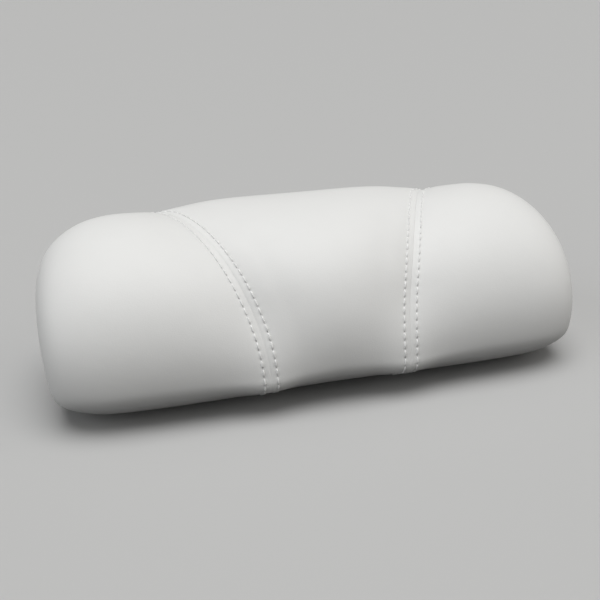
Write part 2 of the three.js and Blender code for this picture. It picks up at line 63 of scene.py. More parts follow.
STANDOFF = 0.004

# How square the form is: 2 is an ellipse, more is squarer
FRONT_SQUARENESS = 7.2
BACK_SQUARENESS = 2.67
CROWN_SQUARENESS = 5.95
UNDER_SQUARENESS = 10
FACE_SQUARENESS = 1.97
NAPE_SQUARENESS = 2.5
ROLL_SQUARENESS = 1.96

# How late along the length the ends drop and the seams' grooves fade: more is nearer the tips
END_DROP_POWER = 6
GROOVE_FADE_POWER = 8

# Section angles in degrees: 0 at the back edge, 90 at the crown, 180 at the front edge, 270 underneath
ROLL_SPAN = 75
SEAM_END_FRONT = 248
SEAM_END_BACK = -57

# Seams: each lies this far from the middle at the front and at the back edge, and is drawn into the foam
SEAM_FRONT = 0.044
SEAM_BACK = 0.126
GROOVE_WIDTH = 0.0223
GROOVE_SHARPNESS = 1.29
CROWN_GROOVE = 0.0073
FACE_GROOVE = 0.007
TOE_BULGE = 0.0045
CROWN_DIP = 0.002
FACE_SWELL = 0.0024
EDGE_SWELL = 0.001
LOW_EDGE_TUCK = 0.0012
SEAM_TOE_REACH = 0.0045

# Depth of the seams and swelling of the centre, each at its section angle
GROOVE_DEPTHS = (
    (0, 0), (55, CROWN_GROOVE), (90, CROWN_GROOVE), (148, FACE_GROOVE),
    (193, -TOE_BULGE), (215, 0), (360, 0),
)
CENTRE_SWELL = (
    (0, 0), (55, -CROWN_DIP), (90, -CROWN_DIP), (140, FACE_SWELL), (180, EDGE_SWELL),
    (215, -LOW_EDGE_TUCK), (232, -LOW_EDGE_TUCK), (252, 0), (360, 0),
)

# Cover, stitches and the back opening
COVER_THICKNESS = 0.0012
FOAM_INSET = 0.0028
SEAM_GAP = 0.0002
STITCH_GAUGE = 0.008
STITCH_PITCH = 0.0053
THREAD_RADIUS = 0.0005
THREAD_SIDES = 8
STITCH_RISE = 0.00025
STITCH_DIVE = 0.0011
STITCH_DIVE_POWER = 3
STITCH_TAPER = 0.35
STITCH_TAPER_POWER = 4
STITCH_CUTS = 7
OPENING_LENGTH = 0.268
OPENING_WIDTH = 0.0756
OPENING_CORNER = 0.030
UNDERSIDE_DEPTH = 0.003

# How the stitches draw the vinyl in: depth and half width of each mark
SEAM_CREASE = (0.00025, 0.0007)
ROW_VALLEY = (0.00012, 0.0016)
NEEDLE_DIMPLE = (0.00014, 0.0017)
NEEDLE_PIT = (0.00018, 0.0005)
# How tightly the painted shade gathers into each needle hole
HOLE_SHADE_SHARPNESS = 3
STITCHED_BAND = 0.0085
STITCHED_BAND_CUTS = 2

# Swelling of the bag: how far the cover gives, and the share of it that the foam always fills
PRESSURE = 4
FULLNESS = 0.02
SWELL_FRAMES = 20
EVENING_STEPS = 30
GIVE = 0.0016
FOAM_HOLD = 0.65
PINNED_FROM = 0.97

# Where the cover is held, and where it is free again: beside a seam, on the underside in degrees, at a tip
HELD_WIDTH = 0.005
FREE_WIDTH = 0.022
UNDERSIDE_HELD = 25
UNDERSIDE_FREE = 60
TIP_STARTS = 0.985
TIP_BLEND = 0.01

# Evening of the two ends, and more of it low down
END_STARTS = 0.138
END_BLEND = 0.016
END_STEPS = 14
LOW_END_HEIGHT = 0.022
LOW_END_BLEND = 0.014
LOW_END_STEPS = 30

# Mesh lines of the bag and the foam, samples along a track, and angles from which edges are sharp
AROUND = 120
FOAM_AROUND = 72
SEAM_LINES = (0.002, 0.004, 0.006, 0.0085)
TIP_LINES = 34
CENTRE_LINES = 24
SECTION_SAMPLES = 2881
ROW_SAMPLES = 4001
SEAM_SAMPLES = 3001
SHARP_VINYL = 60
SHARP_FOAM = 40
SHARP_MOULDING = 35
BEVEL_FROM = 40

# Hardware of the back
DISH_WALL = 0.0018
DISH_CLEARANCE = 0.0015
DISH_FLOOR = 0.0025
KEYHOLE_TRAVEL = 0.012
SLOT_CLEARANCE = 0.0004
ENTRY_CLEARANCE = 0.00075
FLANGE_THICKNESS = 0.002
FLANGE_CORNER = 0.026
SHANK_RADIUS = 0.003
HEAD_RADIUS = 0.0065
HEAD_CHAMFER = 0.0008
HEAD_ROOM = 0.001
FOOT_LEDGE = 0.002
FOOT_HEIGHT = 0.0022
SCREW_RADIUS = 0.0013
CROSS_LENGTH = 0.003
CROSS_WIDTH = 0.0007
CROSS_DEPTH = 0.0008
CROSS_CORNER = 0.0002
CUP_RIM_WIDTH = 0.002
CUP_RIM_HEIGHT = 0.0009
CUP_HOLLOW = 0.0065
CUP_WEB = 0.0017
CUP_NECK_RADIUS = 0.008
CUP_LIP = 0.002
CLEARANCE = 0.0003

# Rounding of moulded and pressed edges, steps round a turned piece, and how far cutting tools reach
CUP_EDGE = 0.0003
STUD_EDGE = 0.00025
SOCKET_EDGE = 0.0004
SCREW_EDGE = 0.00012
BACK_EDGE = 0.0005
CUP_STEPS = 96
STUD_STEPS = 64
SCREW_STEPS = 40
CUT_OVER = 0.001
CUT_THROUGH = 0.02

# Corners this close are merged, and nothing is divided by less than the second
MERGE_DISTANCE = 0.000004
TINY = 1e-12

# Camera, as the photograph was taken
CAMERA_AZIMUTH = -15.536
CAMERA_ELEVATION = 24.436
CAMERA_ROLL = -0.447
CAMERA_DISTANCE = 0.5241
CAMERA_AIM_HEIGHT = 0.035
CAMERA_LENS = 47.774
CAMERA_SHIFT = (-0.0193, 0.0077)
CAMERA_SENSOR = 36
CAMERA_CLIP = 0.01

# Floor, surroundings and lamps, each lamp with the place it shines from, its strength and its colour
FLOOR_SIZE = 14
FLOOR_SEEN = (0.55, 0.55, 0.545)
FLOOR_BOUNCE = (0.08, 0.08, 0.08)
SKY_COLOUR = (0.8, 0.8, 0.79)
SKY_SEEN = 0.64
SKY_LIGHT = 0.165
LIGHT_WIDTH = 50
LAMPS = {
    "overhead": ((0.03, -0.1, 1), 2.0, (1, 1, 1)),
    "cool_side": ((-1, -0.3, 0.5), 0.645, (0.96, 0.98, 1.0)),
    "warm_side": ((1, -0.3, 0.5), 0.55, (1.0, 0.97, 0.93)),
}

# Vinyl in the shade of a needle hole, and the sockets of a node that mixes two colours
HOLE_SHADE_COLOUR = (0.62, 0.62, 0.615)
MIX_SHARE = 0
MIX_FIRST = 6
MIX_SECOND = 7
MIX_RESULT = 2

TIP_Y = (FRONT_REACH + SEAM_TOE_REACH - BACK_REACH) / 2
HALF_LENGTH = LENGTH / 2
SIDES = {"left": -1, "right": 1}
COLOURS = {entry["slot"]: entry["base_color"][:3] for entry in frame["record"]["materials"]}


# The padded form

def ellipse_arm(u, squareness):
    return np.maximum(0, 1 - np.abs(u) ** squareness) ** (1 / squareness)


def smooth_step(share):
    held = np.clip(share, 0, 1)
    return held * held * (3 - 2 * held)


def between(stations, angle):
    places, values = np.array(stations, float).T
    k = np.clip(np.searchsorted(places, angle, side="right"), 1, len(places) - 1)
    share = smooth_step((angle - places[k - 1]) / (places[k] - places[k - 1]))
    return values[k - 1] + (values[k] - values[k - 1]) * share


def form(u, section_angle):
    """Point of the form before its seams are drawn in. u runs from -1 to 1 along the length."""
    angle = np.mod(section_angle, 360)
    turn = np.radians(angle)
    front_scale = ellipse_arm(u, FRONT_SQUARENESS)
    back_scale = ellipse_arm(u, BACK_SQUARENESS)
    front = -FRONT_REACH * front_scale
    back = BACK_REACH * back_scale
    crown = CROWN_SET_BACK * np.minimum(front_scale, back_scale)
    widest = WIDEST_HEIGHT - END_DROP * u ** END_DROP_POWER

    on_face = angle > 90
    power = np.where(on_face, 2 / FACE_SQUARENESS, 2 / NAPE_SQUARENESS)
    reach = np.where(on_face, front, back) - crown
    rise = (BODY_HEIGHT - widest) * ellipse_arm(u, CROWN_SQUARENESS)
    upper_y = crown + reach * np.abs(np.cos(turn)) ** power
    upper_z = widest + rise * np.maximum(0, np.sin(turn)) ** power

    at_front = angle < 270
    below = np.maximum(0, np.where(at_front, angle - 180, 360 - angle))
    roll_turn = np.minimum(1, below / ROLL_SPAN) * math.pi / 2
    roll_power = 2 / ROLL_SQUARENESS
    roll_scale = np.where(at_front, front_scale, back_scale)
    roll = EDGE_ROLL * roll_scale * (1 - np.maximum(0, np.cos(roll_turn)) ** roll_power)
    edge = np.where(at_front, front + roll, back - roll)
    flat = np.maximum(0, (below - ROLL_SPAN) / (90 - ROLL_SPAN))
    lower_y = edge + ((front + back) / 2 - edge) * flat
    lower_z = widest - widest * ellipse_arm(u, UNDER_SQUARENESS) * np.sin(roll_turn) ** roll_power

    above = angle <= 180
    y = np.where(above, upper_y, lower_y)
    z = np.where(above, upper_z, lower_z)
    under = np.maximum(0, (LONGEST_HEIGHT - z) / LONGEST_HEIGHT) ** 2
    over = np.maximum(0, (z - LONGEST_HEIGHT) / (BODY_HEIGHT - LONGEST_HEIGHT)) ** 2
    x = u * (HALF_LENGTH - UNDER_TUCK * under - CROWN_TUCK * over)
    return np.stack(np.broadcast_arrays(x, TIP_Y + y, STANDOFF + z), axis=-1)


def form_normal(u, angle):
    u_step, angle_step = 1e-4, 0.2
    inside = np.clip(u, -1 + u_step, 1 - u_step)
    along = form(inside + u_step, angle) - form(inside - u_step, angle)
    around = form(inside, angle + angle_step) - form(inside, angle - angle_step)
    normal = np.cross(around, along)
    return normal / np.maximum(np.linalg.norm(normal, axis=-1, keepdims=True), TINY)


def seam_spread(section_angle):
    """Half the distance between the seams: it flares over the crown and is straight down the front."""
    angle = np.mod(section_angle, 360)
    flare = (1 + np.cos(np.radians(angle))) / 2
    underneath = smooth_step((angle - 180 - ROLL_SPAN) / (180 - 2 * ROLL_SPAN))
    return SEAM_FRONT + (SEAM_BACK - SEAM_FRONT) * np.where(angle <= 180, flare, underneath)


def skin(u, section_angle, inset=0.0):
    """Point of the cover: the form, seams drawn in and centre swollen, moved inwards by an inset."""
    angle = np.mod(section_angle, 360)
    distance = np.abs(u) * HALF_LENGTH
    spread = seam_spread(angle)
    fade = np.exp(-((np.abs(distance - spread) / GROOVE_WIDTH) ** GROOVE_SHARPNESS))
    fade = fade * (1 - u ** GROOVE_FADE_POWER)
    swell = between(CENTRE_SWELL, angle) * np.maximum(0, 1 - (distance / spread) ** 2)
    lift = swell - between(GROOVE_DEPTHS, angle) * fade - inset
    return form(u, angle) + form_normal(u, angle) * lift[..., None]


def beside_seam(distance, angle):
    """Place along the length at a distance from a seam, measured square to the seam."""
    step = 0.5
    ahead, behind = (form(seam_spread(at) / HALF_LENGTH, at) for at in (angle + step, angle - step))
    track = ahead - behind
    stretch = np.linalg.norm(track, axis=-1) / np.hypot(track[..., 1], track[..., 2])
    return (seam_spread(angle) + distance * stretch) / HALF_LENGTH


def towards_tip(start, share):
    """Place between a start and the tip of an end, spaced evenly round the end."""
    turn = np.arctan2(ellipse_arm(start, CROWN_SQUARENESS), start) * (1 - share)
    c, s = np.cos(turn), np.sin(turn)
    return c / (c ** CROWN_SQUARENESS + s ** CROWN_SQUARENESS) ** (1 / CROWN_SQUARENESS)


def lengths_along(track):
    """Length of a track from its start to each of its points."""
    return np.concatenate([[0], np.cumsum(np.linalg.norm(np.diff(track, axis=0), axis=1))])


def even_angles(count):
    """Section angles that lie evenly spaced along a seam, right round the pillow."""
    fine = np.linspace(0, 360, SECTION_SAMPLES)
    length = lengths_along(skin(seam_spread(fine) / HALF_LENGTH, fine))
    return np.interp(np.arange(count) * length[-1] / count, length, fine)


# Mesh helpers

def clear_selection():
    if bpy.context.object and bpy.context.object.mode != "OBJECT":
        bpy.ops.object.mode_set(mode="OBJECT")
    bpy.ops.object.select_all(action="DESELECT")


def make_active(piece):
    clear_selection()
    piece.select_set(True)
    bpy.context.view_layer.objects.active = piece


def apply_modifiers(piece):
    make_active(piece)
    for modifier in list(piece.modifiers):
        bpy.ops.object.modifier_apply(modifier=modifier.name)


def added(name):
    """Names the primitive that was just added and puts its place into its mesh."""
    piece = bpy.context.object
    piece.name = name
    piece.data.name = name
    bpy.ops.object.transform_apply(location=True, rotation=True, scale=True)
    return piece


def pick(piece, kind, test):
    """Opens a piece in edit mode with only the corners, edges or faces selected that pass a test."""
    make_active(piece)
    bpy.ops.object.mode_set(mode="EDIT")
    bpy.ops.mesh.select_mode(type=kind)
    bpy.ops.mesh.select_all(action="DESELECT")
    mesh = bmesh.from_edit_mesh(piece.data)
    for part in {"VERT": mesh.verts, "EDGE": mesh.edges, "FACE": mesh.faces}[kind]:
        part.select_set(bool(test(part)))
    mesh.select_flush_mode()
    bmesh.update_edit_mesh(piece.data)


def close_edit():
    bpy.ops.object.mode_set(mode="OBJECT")


def corners_of(piece):
    flat = np.empty(3 * len(piece.data.vertices))
    piece.data.vertices.foreach_get("co", flat)
    return flat.reshape(-1, 3)


def normals_of(piece):
    return np.array([corner.normal for corner in piece.data.vertices])


def set_corners(piece, corners):
    piece.data.vertices.foreach_set("co", np.asarray(corners, float).ravel())
    piece.data.update()


def new_piece(name, corners, faces):
    mesh = bpy.data.meshes.new(name)
    mesh.from_pydata([tuple(corner) for corner in corners], [], faces)
    mesh.validate()
    piece = bpy.data.objects.new(name, mesh)
    bpy.context.scene.collection.objects.link(piece)
    return piece


def tree_of(points):
    tree = KDTree(len(points))
    for k, point in enumerate(points):
        tree.insert(point, k)
    tree.balance()
    return tree


def distances_to(tree, corners):
    return np.array([tree.find(corner)[2] for corner in corners])


def dress(piece, body, slot, material, *nodes):
    """Gives a finished piece its material and its body, and hides the solids that it stands for."""
    piece.data.materials.clear()
    piece.data.materials.append(material)
    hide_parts(*nodes)
    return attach(piece, body)


# Sewn bag

def mesh_lines(angles, edge):
    """Mesh lines along the length: the right end panel's, those inside its seam, and the middle ones."""
    outer = [beside_seam(distance, angles) for distance in (edge, *SEAM_LINES)]
    tip = [towards_tip(outer[-1], k / TIP_LINES) for k in range(1, TIP_LINES + 1)]
    inner = [beside_seam(-distance, angles) for distance in (edge, *SEAM_LINES)]
    middle = [inner[-1] * (2 * k / CENTRE_LINES - 1) for k in range(1, CENTRE_LINES)]
    return outer + tip, inner, middle


def closed_grid(rows, around):
    """Faces of a grid of closed rows, with a fan that draws each end row to a corner of its own."""
    starts = np.arange(around)
    ends = (starts + 1) % around
    sides = [np.stack([r + starts, r + ends, r + ends + around, r + starts + around], axis=1)
             for r in range(0, (rows - 1) * around, around)]
    first, last = np.full(around, rows * around), np.full(around, rows * around + 1)
    ring = (rows - 1) * around
    fans = [np.stack([first, ends, starts], axis=1), np.stack([last, ring + starts, ring + ends], axis=1)]
    return [tuple(face) for group in sides + fans for face in group.tolist()]


def sewn_bag():
    """The whole cover as one bag, each face marked by its panel, and how firmly each corner is held."""
    angles = even_angles(AROUND)
    end, inner, middle = mesh_lines(angles, 0.0)
    left = [-line for line in end[::-1]]
    centre = [-line for line in inner[1:]] + middle + inner[:0:-1]
    lines = left + centre + end
    u = np.array(lines)[1:-1]
    grid_angles = np.broadcast_to(angles, u.shape)
    from_seam = np.abs(np.abs(u) * HALF_LENGTH - seam_spread(grid_angles))
    sewn = 1 - smooth_step((from_seam - HELD_WIDTH) / (FREE_WIDTH - HELD_WIDTH))
    below = np.abs(np.mod(grid_angles, 360) - 270)
    laid = 1 - smooth_step((below - UNDERSIDE_HELD) / (UNDERSIDE_FREE - UNDERSIDE_HELD))
    tip = smooth_step((np.abs(u) - TIP_STARTS) / TIP_BLEND)
    held = np.maximum(np.maximum(sewn, laid), tip)
    corners = skin(u, grid_angles, GIVE * (1 - held)).reshape(-1, 3)
    tips = form(np.array([-1.0, 1.0]), np.array([180.0, 180.0]))
    rows = len(u)
    bag = new_piece("sewn_bag", np.vstack([corners, tips]), closed_grid(rows, AROUND))
    row_of = np.arange(rows - 1)
    left_rows, right_rows = len(left) - 2, rows - 1 - (len(end) - 2)
    row_panel = np.where(row_of < left_rows, 0, np.where(row_of < right_rows, 1, 2))
    panel = np.repeat(np.append(row_panel, [0, 2]), AROUND).astype(np.int32)
    bag.data.attributes.new("panel", "INT", "FACE").data.foreach_set("value", panel)
    return bag, np.concatenate([held.ravel(), [1, 1]])


def evened(grid):
    """Spreads out the small folds of a grid of closed rows, as the foam behind the cover does."""
    for _ in range(EVENING_STEPS):
        around = (np.roll(grid, 1, axis=1) + np.roll(grid, -1, axis=1)) / 2
        along = grid.copy()
        along[1:-1] = (grid[:-2] + grid[2:]) / 2
        grid = (2 * grid + around + along) / 4
    return grid


def push_out(bag, distances):
    set_corners(bag, corners_of(bag) + normals_of(bag) * distances[:, None])


def swell(bag, held):
    """Blows the bag up between its seams, and lets the cover give only as far as the foam allows."""
    start = corners_of(bag)
    normals = normals_of(bag)
    group = bag.vertex_groups.new(name="held")
    group.add(np.flatnonzero(held > PINNED_FROM).tolist(), 1, "REPLACE")
    cloth = bag.modifiers.new("vinyl", "CLOTH")
    cloth.settings.use_pressure = True
    cloth.settings.uniform_pressure_force = PRESSURE
    cloth.settings.shrink_min = -FULLNESS
    cloth.settings.effector_weights.gravity = 0
    cloth.settings.vertex_group_mass = "held"
    cloth.point_cache.frame_end = SWELL_FRAMES
    for step in range(1, SWELL_FRAMES + 1):
        bpy.context.scene.frame_set(step)
    apply_modifiers(bag)
    bpy.context.scene.frame_set(1)
    out = ((corners_of(bag) - start) * normals).sum(axis=1)
    set_corners(bag, start)
    room = GIVE * (1 - held)
    out = np.clip(out, FOAM_HOLD * room, room)
    smooth = np.append(evened(out[:-2].reshape(-1, AROUND)).ravel(), out[-2:])
    push_out(bag, np.minimum(smooth, room))


def even_out(bag, name, share, steps):
    """Evens the padding of a bag where each corner has a share in it."""
    group = bag.vertex_groups.new(name=name)
    for k in np.flatnonzero(share):
        group.add([int(k)], float(share[k]), "REPLACE")
    evening = bag.modifiers.new(name, "SMOOTH")
    evening.vertex_group = group.name
    evening.iterations = steps
    apply_modifiers(bag)


def round_ends(bag):
    """Evens the two ends, where nothing is sewn: as full as before, rounder at the lower corners."""
    start = corners_of(bag)
    share = smooth_step((np.abs(start[:, 0]) - END_STARTS) / END_BLEND)
    even_out(bag, "ends", share, END_STEPS)
    lost = np.average(((start - corners_of(bag)) * normals_of(bag)).sum(axis=1), weights=share)
    push_out(bag, share * lost)
    low = smooth_step((LOW_END_HEIGHT - start[:, 2]) / LOW_END_BLEND)
    even_out(bag, "lower_ends", share * low, LOW_END_STEPS)


def row_track(side, distance):
    """Places and normals of the needle holes of one stitch row."""
    fine = np.linspace(SEAM_END_BACK, SEAM_END_FRONT, ROW_SAMPLES)
    length = lengths_along(skin(side * beside_seam(distance, fine), fine))
    stitches = round(length[-1] / STITCH_PITCH)
    angles = np.interp(np.linspace(0, length[-1], stitches + 1), length, fine)
    u = side * beside_seam(distance, angles)
    return skin(u, angles), form_normal(u, angles)


def stitch_rows():
    return {
        f"{hand}_{place}": row_track(side, sign * STITCH_GAUGE / 2)
        for hand, side in SIDES.items()
        for place, sign in (("inner", -1), ("outer", 1))
    }


def from_opening(points):
    """How far points lie outside the edge of the back opening, with the way straight out of it."""
    straight = np.array([OPENING_LENGTH / 2 - OPENING_CORNER, OPENING_WIDTH / 2 - OPENING_CORNER])
    over = np.abs(points[:, :2]) - straight
    out = np.maximum(over, 0)
    reach = np.linalg.norm(out, axis=1)
    distance = reach + np.minimum(over.max(axis=1), 0) - OPENING_CORNER
    nearest = over == over.max(axis=1, keepdims=True)
    way = np.where(reach[:, None] > 0, out / np.maximum(reach, TINY)[:, None], nearest)
    return distance, way * np.sign(points[:, :2])


def open_back(panel):
    """Cuts the opening for the back panel out of the underside, its edge drawn onto the outline."""
    centres = np.array([face.center for face in panel.data.polygons])
    inside = (from_opening(centres)[0] < 0) & (centres[:, 2] < STANDOFF + UNDERSIDE_DEPTH)
    corners = corners_of(panel)
    meets = np.zeros((len(corners), 2), bool)
    for face in panel.data.polygons:
        meets[list(face.vertices), int(inside[face.index])] = True
    edge = meets.all(axis=1)
    distance, way = from_opening(corners[edge])
    corners[edge, :2] -= way * distance[:, None]
    set_corners(panel, corners)
    pick(panel, "FACE", lambda face: inside[face.index])
    bpy.ops.mesh.delete(type="FACE")
    close_edit()


def lie_flat(panel):
    corners = corners_of(panel)
    corners[:, 2] = np.maximum(corners[:, 2], STANDOFF)
    set_corners(panel, corners)


def mark(distance, depth, half_width):
    """Depth of a mark in the vinyl at a distance from its middle."""
    return depth * np.exp(-((distance / half_width) ** 2))


def sink_stitches(panel, seams, needles):
    """Draws the vinyl in along the seams and their rows of stitches, marks the needle holes, and stores a
    share of painted shade for each hole.
    """
    band = distances_to(seams, corners_of(panel)) < STITCHED_BAND
    pick(panel, "FACE", lambda face: all(band[corner.index] for corner in face.verts))
    bpy.ops.mesh.subdivide(number_cuts=STITCHED_BAND_CUTS, smoothness=0)
    close_edit()
    corners = corners_of(panel)
    normals = normals_of(panel)
    to_seam = distances_to(seams, corners)
    to_needle = distances_to(needles, corners)
    depth = mark(to_seam, *SEAM_CREASE)
    depth += mark(to_seam - STITCH_GAUGE / 2, *ROW_VALLEY)
    depth += mark(to_needle, *NEEDLE_DIMPLE)
    depth += mark(to_needle, *NEEDLE_PIT)
    above = smooth_step((corners[:, 2] - STANDOFF) / UNDERSIDE_DEPTH)
    set_corners(panel, corners - normals * (depth * above)[:, None])
    # Painted shade: a share from 0 to 1 that darkens the vinyl's colour in and around each needle hole
    hole = mark(to_needle, 1, NEEDLE_PIT[1]) ** HOLE_SHADE_SHARPNESS
    panel.data.attributes.new("needle_hole_shade", "FLOAT", "POINT").data.foreach_set("value", hole)


def cover_panels(material):
    """The three vinyl panels of the swollen bag."""
    bag, held = sewn_bag()
    swell(bag, held)
    round_ends(bag)
    rounding = bag.modifiers.new("rounding", "SUBSURF")
    rounding.levels = 1
    rounding.render_levels = 1
    apply_modifiers(bag)
    panel_of = np.empty(len(bag.data.polygons), np.int32)
    bag.data.attributes["panel"].data.foreach_get("value", panel_of)
    fine = np.linspace(SEAM_END_BACK, SEAM_END_FRONT, SEAM_SAMPLES)
    tracks = [skin(side * seam_spread(fine) / HALF_LENGTH, fine) for side in SIDES.values()]
    seams = tree_of(np.vstack(tracks))
    needles = tree_of(np.vstack([holes for holes, _ in stitch_rows().values()]))
    for k, name in enumerate(("left", "centre", "right")):
        panel = bag.copy()
        panel.data = bag.data.copy()
        panel.name = f"{name}_vinyl_panel"
        panel.vertex_groups.clear()
        bpy.context.scene.collection.objects.link(panel)
        pick(panel, "FACE", lambda face: panel_of[face.index] != k)
        bpy.ops.mesh.delete(type="FACE")
        close_edit()
        sink_stitches(panel, seams, needles)
        open_back(panel)
        wall = panel.modifiers.new("wall", "SOLIDIFY")
        wall.thickness = COVER_THICKNESS
        wall.offset = -1
        apply_modifiers(panel)
        lie_flat(panel)
        panel.data.attributes.remove(panel.data.attributes["panel"])
        make_active(panel)
        bpy.ops.object.shade_smooth_by_angle(angle=math.radians(SHARP_VINYL))
        dress(panel, "pillow", "cover_vinyl", material, f"{name}_cover_panel")
    bpy.data.objects.remove(bag)


# Stitches

def thread_stitch():
    """One stitch of thread along X, whose ends dive into the needle holes."""
    clear_selection()
    bpy.ops.mesh.primitive_cylinder_add(
        vertices=THREAD_SIDES, radius=THREAD_RADIUS, depth=STITCH_PITCH, rotation=(0, math.pi / 2, 0),
    )
    stitch = added("stitch")
    pick(stitch, "EDGE", lambda edge: abs(edge.verts[0].co.x - edge.verts[1].co.x) > THREAD_RADIUS)
    bpy.ops.mesh.subdivide(number_cuts=STITCH_CUTS)
    close_edit()
    corners = corners_of(stitch)
    share = np.abs(corners[:, 0]) / (STITCH_PITCH / 2)
    taper = 1 - STITCH_TAPER * share ** STITCH_TAPER_POWER
    corners[:, 1:] *= taper[:, None]
    corners[:, 2] += STITCH_RISE - STITCH_DIVE * share ** STITCH_DIVE_POWER
    set_corners(stitch, corners)
    return stitch


def sewn_rows(material):
    """Every stitch row, one stitch after another along its needle holes."""
    stitch = thread_stitch()
    for name, (holes, normals) in stitch_rows().items():
        copies = []
        for k in range(len(holes) - 1):
            along = Vector(holes[k + 1] - holes[k])
            up = Vector(normals[k] + normals[k + 1])
            across = up.cross(along).normalized()
            up = along.cross(across).normalized()
            middle = Vector(holes[k] + holes[k + 1]) / 2 - up * ROW_VALLEY[0]
            place = Matrix((along.normalized(), across, up)).transposed().to_4x4()
            copy = stitch.copy()
            copy.data = stitch.data.copy()
            copy.data.transform(Matrix.Translation(middle) @ place)
            bpy.context.scene.collection.objects.link(copy)
            copies.append(copy)
        clear_selection()
        for copy in copies:
            copy.select_set(True)
        bpy.context.view_layer.objects.active = copies[0]
        bpy.ops.object.join()
        row = bpy.context.object
        row.name = f"{name}_thread"
        bpy.ops.object.shade_smooth()
        dress(row, "pillow", "thread", material, f"{name}_stitch_row")
    bpy.data.objects.remove(stitch)


# Foam inside the cover

def foam_core(name, lines, angles, sides):
    """A closed block of foam under one panel, from its lines of places along the length."""
    u = np.array(lines)
    rows = skin(u, np.broadcast_to(angles, u.shape), FOAM_INSET)
    middles = rows[[0, -1]].mean(axis=1)
    core = new_piece(name, np.vstack([rows.reshape(-1, 3), middles]), closed_grid(*u.shape))
    for tool in foam_pockets(sides):
        cut_away(core, tool)
    make_active(core)
    bpy.ops.object.shade_smooth_by_angle(angle=math.radians(SHARP_FOAM))
    return core


def foam_pockets(sides):
    """Room for the base board, and for a socket on each of the sides."""
    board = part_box("base_board")[1].z + CLEARANCE
    tools = [rounded_plate("board_room", (0, 0), OPENING_LENGTH, OPENING_WIDTH, OPENING_CORNER, 0, board)]
    for hand, side in SIDES.items():
        if side in sides:
            middle = middle_of(f"{hand}_cup_socket")
            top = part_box(f"{hand}_cup_socket")[1].z + CLEARANCE
            head = HEAD_RADIUS + ENTRY_CLEARANCE
            head_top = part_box(f"{hand}_cup_stud")[1].z + HEAD_ROOM
            tools.append(slot_block("dish_room", middle, room_for_dish(hand), KEYHOLE_TRAVEL, 0, top))
            tools.append(slot_block("head_room", middle, head, KEYHOLE_TRAVEL, 0, head_top))
    return tools


def foam_cores(material):
    angles = even_angles(FOAM_AROUND)
    end, inner, middle = mesh_lines(angles, 2 * SEAM_GAP)
    right = end[:-1]
    left = [-line for line in right[::-1]]
    centre = [-line for line in inner] + middle + inner[::-1]
    for name, node, lines, sides in (
        ("left_foam", "left_foam_bolster", left, (-1,)),
        ("centre_foam", "centre_foam_pad", centre, (-1, 1)),
        ("right_foam", "right_foam_bolster", right, (1,)),
    ):
        core = foam_core(name, lines, angles, sides)
        dress(core, "pillow", "foam", material, node)


# Rigid pieces of the back

def middle_of(node):
    low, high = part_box(node)
    return (low.x + high.x) / 2, (low.y + high.y) / 2


def screw_places(hand):
    return [middle_of(f"{hand}_{place}_screw") for place in ("inner", "outer")]


def cup_radius(hand):
    low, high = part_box(f"{hand}_suction_cup")
    return (high.y - low.y) / 2


def room_for_dish(hand):
    """Radius of the round ends of a hole that takes the dish of a socket."""
    return cup_radius(hand) + DISH_CLEARANCE + DISH_WALL + CLEARANCE


def turned(name, profile, middle, steps):
    """Extrudes one corner along half a section, and spins that about the upright line in a middle."""
    x, y = middle
    points = [Vector((x + radius, y, height)) for radius, height in profile]
    clear_selection()
    bpy.ops.mesh.primitive_plane_add(size=0.001, location=points[0])
    piece = added(name)
    bpy.ops.object.mode_set(mode="EDIT")
    bpy.ops.mesh.select_mode(type="VERT")
    bpy.ops.mesh.select_all(action="SELECT")
    bpy.ops.mesh.merge(type="CENTER")
    for near, far in zip(points, points[1:]):
        bpy.ops.mesh.extrude_vertices_move(TRANSFORM_OT_translate={"value": far - near})
    bpy.ops.mesh.select_all(action="SELECT")
    bpy.ops.mesh.spin(steps=steps, angle=2 * math.pi, center=(x, y, 0), axis=(0, 0, 1))
    bpy.ops.mesh.select_all(action="SELECT")
    bpy.ops.mesh.remove_doubles(threshold=MERGE_DISTANCE)
    bpy.ops.mesh.normals_make_consistent(inside=False)
    close_edit()
    return piece


def slot_block(name, middle, radius, travel, bottom, top, vertices=96):
    """A block with round ends: a cylinder whose two halves are drawn apart along Y."""
    x, y = middle
    clear_selection()
    bpy.ops.mesh.primitive_cylinder_add(
        vertices=vertices, radius=radius, depth=top - bottom,
        location=(x, y, (bottom + top) / 2), rotation=(0, 0, math.pi / vertices),
    )
    block = added(name)
    for sign in (-1, 1):
        pick(block, "VERT", lambda corner: (corner.co.y - y) * sign > 0)
        bpy.ops.transform.translate(value=(0, sign * travel / 2, 0))
        close_edit()
    return block


def rounded_plate(name, middle, width, length, corner, bottom, top, segments=16):
    """A plate with rounded corners: a block whose upright edges are bevelled."""
    clear_selection()
    bpy.ops.mesh.primitive_cube_add(
        size=1, location=(*middle, (bottom + top) / 2), scale=(width, length, top - bottom),
    )
    piece = added(name)
    half_height = (top - bottom) / 2
    pick(piece, "EDGE", lambda edge: abs(edge.verts[0].co.z - edge.verts[1].co.z) > half_height)
    bpy.ops.mesh.bevel(offset=corner, segments=segments, affect="EDGES")
    close_edit()
    return piece


def shape_with(piece, tool, operation):
    """Joins a tool to a piece or cuts it away, and removes the tool."""
    work = piece.modifiers.new("work", "BOOLEAN")
    work.operation = operation
    work.solver = "EXACT"
    work.object = tool
    apply_modifiers(piece)
    bpy.data.objects.remove(tool)


def cut_away(piece, tool):
    shape_with(piece, tool, "DIFFERENCE")


